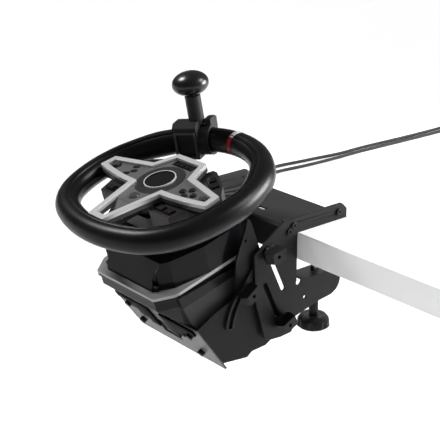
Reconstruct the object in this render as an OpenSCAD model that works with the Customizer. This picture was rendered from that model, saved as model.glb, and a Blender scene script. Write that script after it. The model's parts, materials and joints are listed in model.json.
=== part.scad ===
// Racing wheel on a tilting desk bracket. Millimetres, +Z up, +X to the driver's right, +Y away
// from the driver. The origin lies on the desk top, at the middle of the desk's front edge.

/* [Desk bracket] */
// Width over the two side plates
bracket_w = 197; // [190:1:240]
// Thickness of every folded steel sheet
sheet_t = 3; // [2:0.5:4]
// Thickness of the desk held in the clamp
desk_t = 36.6; // [30:0.1:44]
// Reach of the top plate over the desk
reach = 88; // [70:1:110]
// Height of the flanges beside the top plate
flange_h = 21; // [18:1:26]
// Distance of the clamp screws behind the desk edge
screw_y = 45; // [40:1:55]
// Diameter of the clamp screw rods
screw_d = 10; // [8:1:12]
// Diameter of the clamp screws' hand knobs
hand_knob_d = 45; // [36:1:50]
// Diameter of the clamp pads
clamp_pad_d = 32; // [24:1:36]

/* [Cradle] */
// Height of the cradle pivot below the desk top
pivot_drop = 114; // [108:1:120]
// Diameter of the cradle's cross shaft
pivot_d = 10; // [8:1:12]
// Diameter of the clamp knobs' studs
stud_d = 6; // [5:0.5:8]
// Length of the clamp knobs' bars
bar_l = 28; // [22:1:30]
// Height of the clamp knobs
bar_h = 20; // [14:1:24]
// Angle of the cradle's front plate below upright
plate_lean = 34.8; // [34:0.1:36]
// Tilt that the arc slots in the stays allow
tilt_range = 33; // [15:1:33]

/* [Wheel base] */
// Width of the case
case_w = 164; // [140:1:168]
// Thickness of the case walls
case_wall = 3; // [2:0.5:4]
// Height of the glossy cover
cover_h = 38; // [32:1:44]
// Diameter of the steering shaft
shaft_d = 17; // [14:1:20]
// Outside diameter of the shaft bearings
bearing_d = 26; // [24:1:30]
// Diameter of the drive pulley on the steering shaft
drive_pulley_d = 64; // [50:1:70]
// Diameter of the motor pulley
motor_pulley_d = 14; // [12:1:16]
// Diameter of the motor
motor_d = 42; // [34:1:44]

/* [Steering wheel] */
// Distance from the wheel's centre to the middle of the grip
rim_r = 125.5; // [115:0.5:140]
// How far the flattened bottom of the rim lies from the centre
rim_bottom = 111.5; // [105:0.5:120]
// Diameter of the grip
grip_d = 32; // [26:1:36]
// Diameter of the ring inside the grip
core_d = 18; // [14:1:20]
// Lean of the wheel away from flat
wheel_lean = 15; // [14.5:0.1:15.5]
// Width of the satin trim band
trim_w = 8; // [6:0.5:10]
// Diameter of the badge
badge_d = 42; // [36:1:46]
// Diameter of the round action buttons
action_d = 9; // [7:0.5:10]

/* [Spinner knob] */
// Angle round the rim of the spinner knob, from the driver's right
spinner_at = 118.5; // [100:1:140]
// Diameter of the ball
ball_d = 49; // [40:1:56]
// Diameter of the stem
stem_d = 21; // [16:1:24]
// Height of the middle of the ball above the wheel's plane
ball_up = 78; // [72:1:90]

/* [Cords] */
// Diameter of the data cord
usb_d = 4.6; // [3:0.1:6]
// Diameter of the power cord
power_d = 4.6; // [3:0.1:6]

/* [Hidden] */
$fn = 48;

// Clearances
fit = 0.05;          // radial, running fit of a shaft in its bore
gap = 0.3;           // between pieces that move past each other
slot_gap = 0.3;      // radial, stud in a slot
stay_gap = 0.6;      // between the stays and the sheets beside them
eps = 0.01;

// Sheet positions outward from the middle
side_out = bracket_w / 2;
side_in = side_out - sheet_t;
stay_out = side_in - stay_gap;
stay_in = stay_out - sheet_t;
cheek_out = stay_in - stay_gap;
cheek_in = cheek_out - sheet_t;
flange_in = side_in - sheet_t;

// Pivots and slots, as [y, z]
pivot = [-30, -pivot_drop];
upper_stud = [-50.4, -13.8];
tilt_stud = [-88.5, -57];
slot_way = [0.41, -0.912];
slot_l = 62;
travel_up = 7;
travel_down = 9;
arc_r = norm(tilt_stud - pivot);
arc_start = atan2(tilt_stud[1] - pivot[1], tilt_stud[0] - pivot[0]);

// The cradle's front plate: its top edge, as [y, z], and its height
plate_top = [-162, -91.6];
plate_h = 69.5;
plate_foot = 14;      // how far the plate goes on below the cheeks' corner
fold_step = 0.1;      // how far its face lies behind the cheeks' edges

// The wheel: its centre as [y, z]; then heights along the steering axis, 0 at the rim's plane
wheel_at = [-138, 66.6];
cover_top = -54;
cover_floor = cover_top - cover_h;
lip_t = 4;
case_top = cover_floor - lip_t;
deck_n = -127;
deck_t = 4;
pulley_n = -120;
pulley_h = 10;
shaft_end = -146;
flange_n = -15;
hub_floor = -31;
hub_seat = 4.5;
face_n = 6;
face_top = 12;
trim_top = 15;
button_top = 14;
motor_at = [-45, 12];
motor_l = 36;
motor_shaft_d = 5;
bearing_h = 12;
bearing_low = deck_n - 1 - bearing_h;
bearing_up = cover_top - 4;
cover_screw_d = 3.5;
cover_screw_l = 20;
boss_up = 12;

// ---------- helpers ----------
// Sheet of thickness t from the outline in [y, z], its outer face at x = out
module side_sheet(out, t) { translate([out - t, 0, 0]) rotate([90, 0, 90]) linear_extrude(t) children(); }
module both_sides() { children(); mirror([1, 0, 0]) children(); }
module side(s) { if (s < 0) mirror([1, 0, 0]) children(); else children(); }
// Rod along X from x = a to x = b at p = [y, z]
module rod_x(p, d, a, b) { translate([a, p[0], p[1]]) rotate([0, 90, 0]) cylinder(d = d, h = b - a); }
// Frame of the wheel: x across, y up the face, z along the steering axis toward the driver
module at_wheel() { translate([0, wheel_at[0], wheel_at[1]]) rotate([wheel_lean, 0, 0]) children(); }
// Frame of the front plate: y into the cradle, z up the plate from its lower edge to 0 at the top
module at_plate() { translate([0, plate_top[0], plate_top[1]]) rotate([plate_lean, 0, 0]) children(); }
module slot_2d(a, b, d) {
    l = norm(b - a);
    translate(a) rotate(atan2(b[1] - a[1], b[0] - a[0])) {
        translate([0, -d / 2]) square([l, d]);
        circle(d = d);
        translate([l, 0]) circle(d = d);
    }
}
function mid(a, b, t) = a + (b - a) * t;
function curve(a, b, c, n) = [for (i = [0:n]) mid(mid(a, b, i / n), mid(b, c, i / n), i / n)];
function flip(pts) = [for (i = [len(pts) - 1:-1:0]) [-pts[i][0], pts[i][1]]];

// ---------- desk bracket ----------
arm_top = -desk_t - 31.4;
screw_x = side_in - 12;
bolt_spots = [[-15.7, 5.6], [-8, 12.2], [reach - 15.8, 11.4]];
bolt_d = 5;

module side_outline() {
    difference() {
        polygon([[-23, flange_h], [reach - 8, flange_h], [reach, flange_h - 8], [reach, 0],
            [-1, 0], [-1, arm_top], [79, arm_top], [79, -86], [77, -93], [72, -99.5],
            [63, -104.2], [37, -107.2], [21.5, -111.2], [-3.6, -117.1], [-8.7, -137.3],
            [-27, -138.6], [-47.6, -137], [-56, -131.7], [-71.5, -75.6], [-73.7, -11.8],
            [-66.6, -7.8]]);
        slot_2d(upper_stud - slot_way * travel_up, upper_stud + slot_way * slot_l, stud_d + 2 * slot_gap);
        slot_2d(pivot + slot_way * travel_down, pivot - slot_way * slot_l, stud_d + 2 * slot_gap);
        for (p = bolt_spots) translate(p) circle(d = bolt_d + 2 * fit);
        translate([14, -94]) circle(d = 5);
        translate([2.5, arm_top - 1]) circle(d = 9);
    }
}
module side_plate(s) {
    color("dimgray") side(s) difference() {
        union() {
            side_sheet(side_out, sheet_t) side_outline();
            translate([side_out - 30, 12, arm_top - sheet_t]) cube([30 - sheet_t + eps, 67, sheet_t]);
            translate([screw_x, screw_y, arm_top - sheet_t - 7]) cylinder(d = screw_d + 8, h = 7 + eps, $fn = 6);
        }
        translate([screw_x, screw_y, arm_top - 30]) cylinder(d = screw_d + 2 * fit, h = 60);
    }
}
apron_y = -5;         // front face of the apron, whose flat back stops at the desk's edge
apron_h = 34;
bend_r = 7.5;         // outside of the fold
fold_r = 1.5;         // inside of the fold
module top_plate() {
    color("dimgray") difference() {
        union() {
            // the plate with its rounded fold and the apron in front of the desk's edge
            translate([-side_in, 0, 0]) rotate([90, 0, 90]) linear_extrude(2 * side_in) polygon(concat(
                [[reach, 0], [reach, sheet_t]],
                curve([apron_y + bend_r, sheet_t], [apron_y, sheet_t], [apron_y, sheet_t - bend_r], 6),
                [[apron_y, -apron_h], [apron_y + sheet_t, -apron_h]],
                curve([apron_y + sheet_t, -fold_r], [apron_y + sheet_t, 0],
                    [apron_y + sheet_t + fold_r, 0], 4)));
            both_sides() side_sheet(side_in, sheet_t)
                polygon([[-23, 0], [reach, 0], [reach, flange_h - 8], [reach - 8, flange_h],
                    [-23, flange_h]]);
        }
        translate([-7, 19, -1]) cube([18, 8, sheet_t + 2]);
        for (p = bolt_spots) both_sides() rod_x(p, bolt_d + 2 * fit, flange_in - 1, side_in + 1);
    }
}
module frame_screws() {
    color("black") for (p = bolt_spots) both_sides() {
        rod_x(p, bolt_d, flange_in, side_out + eps);
        difference() {
            rod_x(p, 9, side_out, side_out + 2.6);
            rod_x(p, 3, side_out + 1, side_out + 3);
        }
    }
}
module clamp_pad(s) {
    color("black") side(s) translate([screw_x, screw_y, -desk_t]) difference() {
        translate([0, 0, -6]) union() {
            cylinder(d = clamp_pad_d, h = 6);
            translate([0, 0, -3]) cylinder(d = clamp_pad_d - 12, h = 3 + eps);
        }
        translate([0, 0, -10]) cylinder(d = screw_d - 2 + 2 * fit, h = 8);
    }
}
knob_top = -131;
module clamp_screw(s) {
    color("black") side(s) translate([screw_x, screw_y, 0]) {
        translate([0, 0, knob_top]) cylinder(d = screw_d, h = -knob_top - desk_t - 9 - gap);
        translate([0, 0, -desk_t - 10]) cylinder(d = screw_d - 2, h = 7.5);
        translate([0, 0, knob_top]) cylinder(d = screw_d + 3, h = 25);
        translate([0, 0, knob_top - 20]) difference() {
            rotate_extrude() polygon([[0, 5], [hand_knob_d / 2 - 4, 0], [hand_knob_d / 2, 3],
                [hand_knob_d / 2 - 1, 12], [hand_knob_d / 2 - 5, 17], [hand_knob_d / 2 - 9, 18], [10, 17],
                [0, 20 + eps]]);
            for (i = [0:6]) rotate(i * 360 / 7) translate([hand_knob_d / 2 + 4, 0, -1]) cylinder(d = 13, h = 30);
        }
    }
}

// ---------- sliding shaft and stays ----------
module pivot_shaft() {
    color("silver") difference() {
        rod_x(pivot, pivot_d, -side_in + stay_gap, side_in - stay_gap);
        both_sides() rod_x(pivot, stud_d + 2 * fit, side_in - 18, side_out);
    }
}
module arc_slot_2d(d, from, to) {
    translate(pivot) {
        rotate(from) difference() {
            intersection() {
                circle(r = arc_r + d / 2, $fn = 180);
                polygon([[0, 0], [2 * arc_r, 0], 2 * arc_r * [cos(to - from), sin(to - from)]]);
            }
            circle(r = arc_r - d / 2, $fn = 180);
        }
        for (a = [from, to]) rotate(a) translate([arc_r, 0]) circle(d = d);
    }
}
stay_w = 14;
module stay(s) {
    arc_end = arc_start + tilt_range;
    bend = pivot + arc_r * [cos(arc_start - 8), sin(arc_start - 8)];
    color("dimgray") side(s) side_sheet(stay_out, sheet_t) difference() {
        union() {
            arc_slot_2d(stay_w, arc_start - 8, arc_end);
            slot_2d(bend, upper_stud, stay_w);
        }
        arc_slot_2d(stud_d + 2 * slot_gap, arc_start - 2, arc_end + 1);
        translate(upper_stud) circle(d = stud_d + 2 * fit);
    }
}
// Bar knob with a moulded-in stud: seat is the x of the face it bears on, tip the stud's inner end
module bar_knob(p, seat, tip, turn) {
    color("black") {
        rod_x(p, stud_d, tip, seat + 2);
        translate([seat, p[0], p[1]]) rotate([90, 0, 90]) rotate(turn) difference() {
            union() {
                cylinder(d = 20, h = 5);
                rotate([90, 0, 0]) linear_extrude(14, center = true) polygon([[-bar_l / 2 + 3, 4],
                    [bar_l / 2 - 3, 4], [bar_l / 2, 9], [bar_l / 2 - 2, bar_h], [-bar_l / 2 + 5, bar_h],
                    [-bar_l / 2, 10]]);
            }
            translate([0, 0, bar_h - 4]) cylinder(d = 5, h = 5);
        }
    }
}
module upper_knob(s) { side(s) bar_knob(upper_stud, side_out + gap, stay_in + 0.2, 10); }
module lower_knob(s) { side(s) bar_knob(pivot, side_out + gap, side_in - 12, 25); }
module tilt_knob(s) { side(s) bar_knob(tilt_stud, stay_out + gap, cheek_in - 4, 35); }

// ---------- cradle ----------
module cheek_outline() {
    low = plate_top + plate_h * [sin(plate_lean), -cos(plate_lean)];
    difference() {
        polygon([plate_top, [-131.5, -75.3], [-97.4, -63.7], [-99, -40], [-97, -14.9], [-88.8, 6.1],
            [-82.2, 21.6], [-78.9, 34.7], [-74, 32.8], [-70.7, 25], [-59.1, -7.1], [-48, -45],
            [-24, -86], [-16.5, -100], [-15, -112], [-20, -126], [-40.4, -142.4], [-48.8, -146.6],
            [-71.6, -147.7], [-79.7, -153.6], low]);
        translate(pivot) circle(d = pivot_d + 2 * fit);
        translate(tilt_stud) circle(d = stud_d + 2 * fit);
        translate([-82, 8]) circle(d = 4);
    }
}
plate_bolts = [[-66, -20], [-62, -56], [66, -20], [60, -60]];
plate_bolt_d = 6;
module cradle() {
    color("gray") {
        both_sides() side_sheet(cheek_out, sheet_t) cheek_outline();
        at_plate() difference() {
            translate([-cheek_in - 1, fold_step, -plate_h - plate_foot])
                cube([2 * cheek_in + 2, sheet_t - fold_step, plate_h + plate_foot]);
            for (b = plate_bolts) translate([b[0], -1, b[1]]) rotate([-90, 0, 0])
                cylinder(d = plate_bolt_d + 2 * fit, h = sheet_t + 2);
            for (x = [-30, 30]) translate([x, -1, -8]) rotate([-90, 0, 0]) cylinder(d = 22, h = sheet_t + 2);
            translate([-20, -1, -60]) cube([40, sheet_t + 2, 30]);
        }
    }
}
module base_bolts() {
    color("black") {
        at_plate() for (b = plate_bolts) translate([b[0], 0, b[1]]) rotate([-90, 0, 0]) {
            translate([0, 0, -6]) cylinder(d = plate_bolt_d + 4, h = 6, $fn = 6);
            translate([0, 0, -eps]) cylinder(d = plate_bolt_d, h = 12);
        }
        at_wheel() for (p = cover_screws) translate([p[0], p[1], screw_seat]) {
            cylinder(d = 6.5, h = 3);
            translate([0, 0, -cover_screw_l]) cylinder(d = cover_screw_d, h = cover_screw_l + eps);
        }
    }
}

// ---------- wheel base ----------
case_rear = 58;
case_front = -92.7;
lip_w = case_w / 2 - 4;
// Outlines seen along the steering axis, as [x, up]: half from the front, then mirrored
function whole(pts) = concat(pts, flip(pts));
function lip_plan(d) = whole([[lip_w - 18 - d / 2, case_front + d], [lip_w - 1 - d / 2, case_front + 23 + d / 2],
    [lip_w - d, case_front + 30], [lip_w - d, case_rear - 6], [lip_w - 6, case_rear - d]]);
function cover_plan(d) = whole([[lip_w - 31 - d / 2, case_front + 9 + d], [lip_w - 12 - d, case_front + 32],
    [lip_w - d, case_front + 79], [lip_w - d, case_rear - 10], [lip_w - 8, case_rear - 8 - d]]);
function case_plan(d) = whole([[lip_w - 20 - d / 2, case_front + 2 + d], [lip_w - 4 - d, case_front + 25],
    [lip_w - 4 - d, case_rear - 10], [lip_w - 12, case_rear - d]]);
function cover_profile(d) = [[case_front - 5, cover_floor - 5 - d], [case_front + 7 + d, cover_floor],
    [case_front + 24 + d, cover_top - d], [case_rear + 5, cover_top - d], [case_rear + 5, cover_floor - 5 - d]];
panel_profile = [[case_front + 22, case_top - 0.5], [case_front + 24, -108], plate_point(sheet_t + 1.5, -4),
    plate_point(sheet_t + 1.5, -57), plate_point(100, -57), [case_rear - 4, plate_point(100, -57)[1]],
    [case_rear - 4, case_top - 9]];
function case_profile(d) = let (q = sheet_t + eps + d) [
    [case_front - 5, case_top + 5], [case_front - 5, -104], [case_front + 1 + d, -112 + d / 2],
    plate_point(q, 1), plate_point(q, -60 + d), plate_point(112 - d, -60 + d),
    [case_rear + 5, plate_point(112 - d, -60 + d)[1]], [case_rear + 5, case_top + 5]];
// A point above the front plate, q into the cradle and p up the plate, as [y, z] of the wheel's frame
function plate_point(q, p) = let (
    y = plate_top[0] + q * cos(plate_lean) - p * sin(plate_lean) - wheel_at[0],
    z = plate_top[1] + q * sin(plate_lean) + p * cos(plate_lean) - wheel_at[1])
    [y * cos(wheel_lean) + z * sin(wheel_lean), -y * sin(wheel_lean) + z * cos(wheel_lean)];
cover_screws = [[-51, -78], [51, -78], [-64, 38], [64, 38]];
screw_seat = cover_floor + 6;

module case_block(d) {
    intersection() {
        profile_block(case_profile(d));
        translate([0, 0, -300]) linear_extrude(300) polygon(case_plan(d));
    }
}
module profile_block(pts) { translate([-200, 0, 0]) rotate([90, 0, 90]) linear_extrude(400) polygon(pts); }
module post(p, d, from, to) { translate([p[0], p[1], from]) cylinder(d = d, h = to - from); }
module base_case() {
    color("gray") at_wheel() {
        difference() {
            union() {
                intersection() {
                    case_block(0);
                    translate([-200, -200, -300]) cube([400, 400, 300 + case_top]);
                }
                both_sides() translate([lip_w - 5, 0, 0]) rotate([90, 0, 90])
                    linear_extrude(case_w / 2 - lip_w + 5) polygon(panel_profile);
            }
            difference() {
                case_block(case_wall);
                translate([-200, -200, deck_n]) cube([400, 400, deck_t]);
                for (p = cover_screws) post(p, 9, deck_n, case_top);
            }
            translate([0, 0, deck_n - 1]) cylinder(d = bearing_d + 2 * fit, h = deck_t + 2);
            translate([motor_at[0], motor_at[1], deck_n - 1]) cylinder(d = 15 + 2 * fit, h = deck_t + 2);
            for (p = cover_screws) post(p, cover_screw_d + 2 * fit, screw_seat - cover_screw_l - 1, case_top + 1);
            at_case_bolts(plate_bolt_d + 2 * fit);
        }
        difference() {
            translate([0, 0, bearing_low - 2]) cylinder(d = bearing_d + 8, h = deck_n + 2 - bearing_low + eps);
            translate([0, 0, bearing_low]) cylinder(d = bearing_d + 2 * fit, h = 20);
            translate([0, 0, bearing_low - 3]) cylinder(d = shaft_d + 2, h = 4);
        }
        difference() {
            translate([0, 0, case_top - lip_t]) linear_extrude(lip_t) polygon(lip_plan(0));
            translate([0, 0, case_top - lip_t - 1]) linear_extrude(lip_t + 2) polygon(case_plan(case_wall));
        }
    }
}
module at_case_bolts(d) {
    rotate([-wheel_lean, 0, 0]) translate([0, -wheel_at[0], -wheel_at[1]]) at_plate()
        for (b = plate_bolts) translate([b[0], 0, b[1]]) rotate([-90, 0, 0]) cylinder(d = d, h = 14);
}
module cover_block(d) {
    intersection() {
        translate([0, 0, case_top - 1 + (d > 0 ? 0 : 2)]) linear_extrude(100) polygon(cover_plan(d));
        profile_block(cover_profile(d));
    }
}
module base_cover() {
    color("black") at_wheel() difference() {
        union() {
            translate([0, 0, case_top]) linear_extrude(lip_t) difference() {
                polygon(lip_plan(0));
                polygon(cover_plan(case_wall));
            }
            difference() {
                cover_block(0);
                cover_block(case_wall);
            }
            intersection() {
                cover_block(0);
                for (p = cover_screws) post(p, 13, case_top, cover_top);
            }
            translate([0, 0, cover_top - case_wall]) rotate_extrude() polygon([[0, 0], [48, 0],
                [48, case_wall], [44, case_wall + 4], [30, case_wall + 8], [24, case_wall + boss_up],
                [0, case_wall + boss_up]]);
        }
        translate([0, 0, bearing_up - 1]) cylinder(d = bearing_d + 2 * fit, h = bearing_h + 1);
        translate([0, 0, cover_top]) cylinder(d = shaft_d + 2, h = 20);
        for (p = cover_screws) {
            post(p, cover_screw_d + 2 * fit, case_top - 1, screw_seat + 1);
            post(p, 8, screw_seat, 0);
        }
    }
    color("black") for (p = [usb_route[0], power_route[0]]) gland(p - gap * gland_way);
}
// Stub that a cord leaves through, its mouth at p
module gland(p) {
    translate(p) rotate([-atan2(gland_way[1], gland_way[2]), 0, 0]) mirror([0, 0, 1]) cylinder(d = 9, h = 9);
}
module at_motor() { at_wheel() translate([motor_at[0], motor_at[1], deck_n]) children(); }
module motor() {
    color("silver") at_motor() difference() {
        union() {
            translate([0, 0, -motor_l]) cylinder(d = motor_d, h = motor_l);
            cylinder(d = 15, h = deck_t);
        }
        translate([0, 0, 4 - motor_l]) cylinder(d = motor_shaft_d + 2 * fit, h = motor_l + deck_t);
    }
}
// The motor's pulley and shaft, which turn together
module motor_pulley() {
    color("white") at_motor() {
        translate([0, 0, pulley_n - 1 - deck_n]) {
            cylinder(d = motor_pulley_d + 4, h = 1 + eps);
            cylinder(d = motor_pulley_d, h = pulley_h + 2);
        }
        translate([0, 0, 5 - motor_l]) cylinder(d = motor_shaft_d, h = motor_l);
    }
}
module belt_2d(d) {
    hull() {
        circle(r = (drive_pulley_d / 2 + d) / cos(180 / 48), $fn = 48);
        translate(motor_at) circle(r = (motor_pulley_d / 2 + d) / cos(180 / 48), $fn = 48);
    }
}
module drive_belt() {
    color("black") at_wheel() translate([0, 0, pulley_n + 1]) linear_extrude(pulley_h - 2)
        difference() { belt_2d(2 + gap); belt_2d(gap); }
}
module bearings() {
    color("silver") at_wheel() for (n = [bearing_up, bearing_low]) translate([0, 0, n]) difference() {
        cylinder(d = bearing_d, h = bearing_h);
        translate([0, 0, -1]) cylinder(d = shaft_d + 2 * fit, h = bearing_h + 2);
    }
}
module control_board() {
    color("green") at_wheel() {
        translate([-42, -72, deck_n + deck_t + 4]) cube([84, 30, 1.6]);
        for (x = [-37, 37], y = [-68, -46]) translate([x, y, deck_n + deck_t]) cylinder(d = 4, h = 4 + eps);
        translate([-14, -68, deck_n + deck_t + 5.6 - eps]) cube([20, 20, 3]);
    }
}

// ---------- steering wheel ----------
module steering_shaft() {
    color("silver") at_wheel() {
        translate([0, 0, shaft_end]) cylinder(d = shaft_d, h = flange_n - shaft_end);
        translate([0, 0, shaft_end]) cylinder(d = shaft_d + 7, h = bearing_low - 2 - gap - shaft_end);
        translate([0, 0, cover_top + boss_up + gap]) cylinder(d = 30, h = flange_n - cover_top - boss_up - gap);
        translate([0, 0, flange_n - eps]) cylinder(d = 50, h = 5);
    }
}
module drive_pulley() {
    color("white") at_wheel() translate([0, 0, pulley_n - 1]) difference() {
        union() {
            cylinder(d = drive_pulley_d + 4, h = 1);
            cylinder(d = drive_pulley_d, h = pulley_h + 1);
            cylinder(d = shaft_d + 12, h = pulley_h + 8);
        }
        translate([0, 0, -1]) cylinder(d = shaft_d, h = pulley_h + 12);
        for (i = [0:5]) rotate(i * 60) translate([drive_pulley_d / 4 + 4, 0, -1]) cylinder(d = 11, h = 30);
    }
}
// Middle line of the rim: a half circle above, then side, corner and bottom arcs below
rim_side_r = 150;
rim_corner_r = 80;
rim_side_a = 20;
corner_c = [rim_r - rim_side_r, 0] + (rim_side_r - rim_corner_r) * [cos(rim_side_a), -sin(rim_side_a)];
corner_k = rim_bottom - rim_corner_r + corner_c[1];
bottom_reach = (corner_k * corner_k + corner_c[0] * corner_c[0]) / (2 * corner_k);
rim_bottom_r = bottom_reach + rim_corner_r;
rim_corner_a = acos(corner_c[0] / bottom_reach);
function rim_right(t) = // t from 0 at the right to 90 at the bottom
    t < rim_side_a ? [rim_r - rim_side_r, 0] + rim_side_r * [cos(t), -sin(t)]
    : t < rim_corner_a ? corner_c + rim_corner_r * [cos(t), -sin(t)]
    : [0, rim_bottom_r - rim_bottom] + rim_bottom_r * [cos(t), -sin(t)];
function rim_at(a) = a <= 180 ? rim_r * [cos(a), sin(a)]
    : a < 270 ? [-rim_right(a - 180)[0], rim_right(a - 180)[1]] : rim_right(360 - a);
rim_n = 60;
ring_n = 16;
// Ring swept along the rim's middle line: swell widens it at the thumb rests
function swell(a) = 1.5 * (exp(-pow((a - 38) / 9, 2)) + exp(-pow((a - 142) / 9, 2)));
module rim_ring(r, bulge, sides) {
    pts = [for (i = [0:rim_n - 1]) let (a = i * 360 / rim_n, c = rim_at(a), t = rim_at(a + 0.5) - rim_at(a - 0.5),
        o = [t[1], -t[0]] / norm(t), w = r + bulge * swell(a))
        for (j = [0:sides - 1]) let (b = j * 360 / sides)
            [c[0] + w * cos(b) * o[0], c[1] + w * cos(b) * o[1], w * sin(b)]];
    faces = [for (i = [0:rim_n - 1], j = [0:sides - 1]) let (k = (i + 1) % rim_n, m = (j + 1) % sides)
        each [[i * sides + j, k * sides + m, i * sides + m], [i * sides + j, k * sides + j, k * sides + m]]];
    polyhedron(pts, [for (f = faces) [f[0], f[2], f[1]]]);
}
spoke_l = 118;
module spokes(d) {
    both_sides() {
        translate([12 - d, -15 - d, -7 - d]) cube([spoke_l, 20 + 2 * d, 9 + 2 * d]);
        translate([7.5 - d, -rim_bottom, -7 - d]) cube([5 + 2 * d, rim_bottom - 30, 9 + 2 * d]);
    }
}
module rim_core() {
    color("dimgray") at_wheel() {
        rim_ring(core_d / 2, 0, 8);
        difference() {
            union() {
                translate([0, 0, flange_n + 5]) cylinder(d = 96, h = hub_seat - flange_n - 5);
                spokes(0);
            }
            rim_cut(core_d / 2 - 1);
        }
    }
}
// Everything outside the rim's middle line less d
module rim_cut(d) {
    difference() {
        translate([-200, -200, -40]) cube([400, 400, 80]);
        translate([0, 0, -50]) linear_extrude(100)
            polygon([for (i = [0:rim_n - 1]) rim_at(i * 360 / rim_n) * (1 - d / norm(rim_at(i * 360 / rim_n)))]);
    }
}
module rim_grip() {
    color("black") at_wheel() difference() {
        rim_ring(grip_d / 2, 1, ring_n);
        rim_ring(core_d / 2, 0, 8);
        spokes(0.05);
    }
}

// Outline of the satin star, right half from the top, as [x, up]
star_right = concat([[27.6, 52.2], [41.5, 20.6], [106.5, 6], [108.5, -17.1]],
    curve([106, -18.2], [62, -28], [32.7, -27.6], 5), [[15.1, -103.1]]);
star = concat(star_right, flip(star_right));
module star_2d(d) { offset(delta = -d) polygon(star); }
module trim() {
    color("silver") at_wheel() difference() {
        translate([0, 0, hub_seat]) linear_extrude(trim_top - hub_seat)
            difference() { star_2d(0); star_2d(trim_w); }
        rim_ring(grip_d / 2 + 0.1, 1, ring_n);
    }
}
dpad_at = [-88.5, -6];
action_at = [[60, 1.5], [50.5, -6], [71.5, -6.5], [61, -12.7]];
option_at = [[-58, 4.2], [-52.5, -4.4], [-58, -13]];
thumb_at = [90, -6.5];
mode_at = [1, -44];
badge_at = [0, -2];
dpad_d = 14;
thumb_d = 12;
mode_d = 13;
rev_w = 40;
rev_h = 12;
rev_at = 31.5;
module hub_face() {
    color("dimgray") at_wheel() difference() {
        union() {
            intersection() {
                translate([0, 0, face_n]) linear_extrude(face_top - face_n) star_2d(trim_w + 0.1);
                translate([-150, -58, 0]) cube([300, 150, 40]);
            }
            intersection() {
                translate([0, 0, -10]) linear_extrude(40) star_2d(trim_w + 0.1);
                translate([-50, 0, 0]) rotate([90, 0, 90]) linear_extrude(100)
                    polygon([[-57, face_top], [-86, -2], [-86, -5], [-60, face_n], [-57, face_n]]);
            }
        }
        spokes(gap);
        for (p = concat(action_at, [mode_at, dpad_at, thumb_at]))
            translate([p[0], p[1], 0]) cylinder(d = hole_d(p), h = 30);
        for (p = option_at) translate([p[0], p[1], 0]) rotate(35) linear_extrude(30)
            slot_2d([-2, 0], [2, 0], 5 + 2 * slot_gap);
        translate([-rev_w / 2, rev_at, face_top - 3]) cube([rev_w, rev_h, 9]);
        translate([badge_at[0], badge_at[1], face_top - 2]) cylinder(d = badge_d + 2 * fit, h = 10);
    }
}
function hole_d(p) = 2 * slot_gap
    + (p == mode_at ? mode_d : p == dpad_at ? dpad_d : p == thumb_at ? thumb_d : action_d);
module round_button(p, d, top) {
    at_wheel() translate([p[0], p[1], face_n]) {
        cylinder(d = d, h = top - face_n - 1);
        translate([0, 0, top - face_n - 1 - eps]) cylinder(d1 = d, d2 = d - 2, h = 1);
    }
}
module oval_button(p) {
    at_wheel() translate([p[0], p[1], face_n]) rotate(35) linear_extrude(button_top - face_n - 1)
        slot_2d([-2, 0], [2, 0], 5);
}
module dpad() {
    color("silver") at_wheel() translate([dpad_at[0], dpad_at[1], face_n]) {
        cylinder(d = dpad_d, h = 5);
        for (a = [0, 90]) rotate(a) translate([2 - dpad_d / 2, -2.2, 5 - eps]) cube([dpad_d - 4, 4.4, 4]);
    }
}
module thumb_control() {
    color("silver") at_wheel() translate([thumb_at[0], thumb_at[1], face_n]) {
        cylinder(d = thumb_d, h = 6);
        for (a = [0, 90]) rotate(a) translate([-5, -1.8, 6 - eps]) cube([10, 3.6, 3]);
    }
}
module badge() {
    color("silver") at_wheel() translate([badge_at[0], badge_at[1], face_top - 2]) difference() {
        cylinder(d = badge_d, h = 4);
        translate([0, 0, 3]) cylinder(d = badge_d - 4, h = 2);
    }
}
module rev_lights() {
    color("red") at_wheel() translate([1 - rev_w / 2, rev_at + 1, face_top - 3]) {
        cube([rev_w - 2, rev_h - 2, 1]);
        for (i = [0:3]) translate([1.5 + i * 9.5, 3, 0]) cube([6.5, 4, 2]);
    }
}
upper_pod = [[24, 44], [30, 58], [38, 58], [72, 38], [90, 20], [84, 8], [40, 18]];
lower_pod = [[28, -24], [30, -47], [71, -48], [79, -24], [41, -20]];
rocker_upper_at = [56, 36];
rocker_lower_at = [52, -37];
module hub_back() {
    color("black") at_wheel() difference() {
        union() {
            translate([0, 0, hub_floor]) linear_extrude(-hub_floor - 10.5)
                polygon([[-58, 20], [-30, 50], [30, 50], [58, 20], [52, -30], [24, -50], [-24, -50], [-52, -30]]);
            both_sides() translate([0, 0, -22]) linear_extrude(25) polygon(upper_pod);
            both_sides() translate([0, 0, -22]) linear_extrude(25) polygon(lower_pod);
            both_sides() for (k = [-1, 1]) translate([paddle_x - 4, k * 15 - 2, paddle_n - 4])
                cube([8, 4, hub_floor - paddle_n + 4.5]);
            both_sides() translate([paddle_x, 16, paddle_n]) rotate([90, 0, 0]) cylinder(d = 3, h = 32);
        }
        translate([0, 0, hub_floor - 1]) cylinder(d = 54, h = 30);
        translate([0, 0, -10.5]) cylinder(d = 97, h = 20);
        spokes(0.3);
        both_sides() for (p = [rocker_upper_at, rocker_lower_at])
            translate([p[0], p[1], 0]) rotate(p[1] > 0 ? -28 : 0) translate([-15.5, -6, -3]) cube([31, 12, 8]);
    }
}
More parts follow.
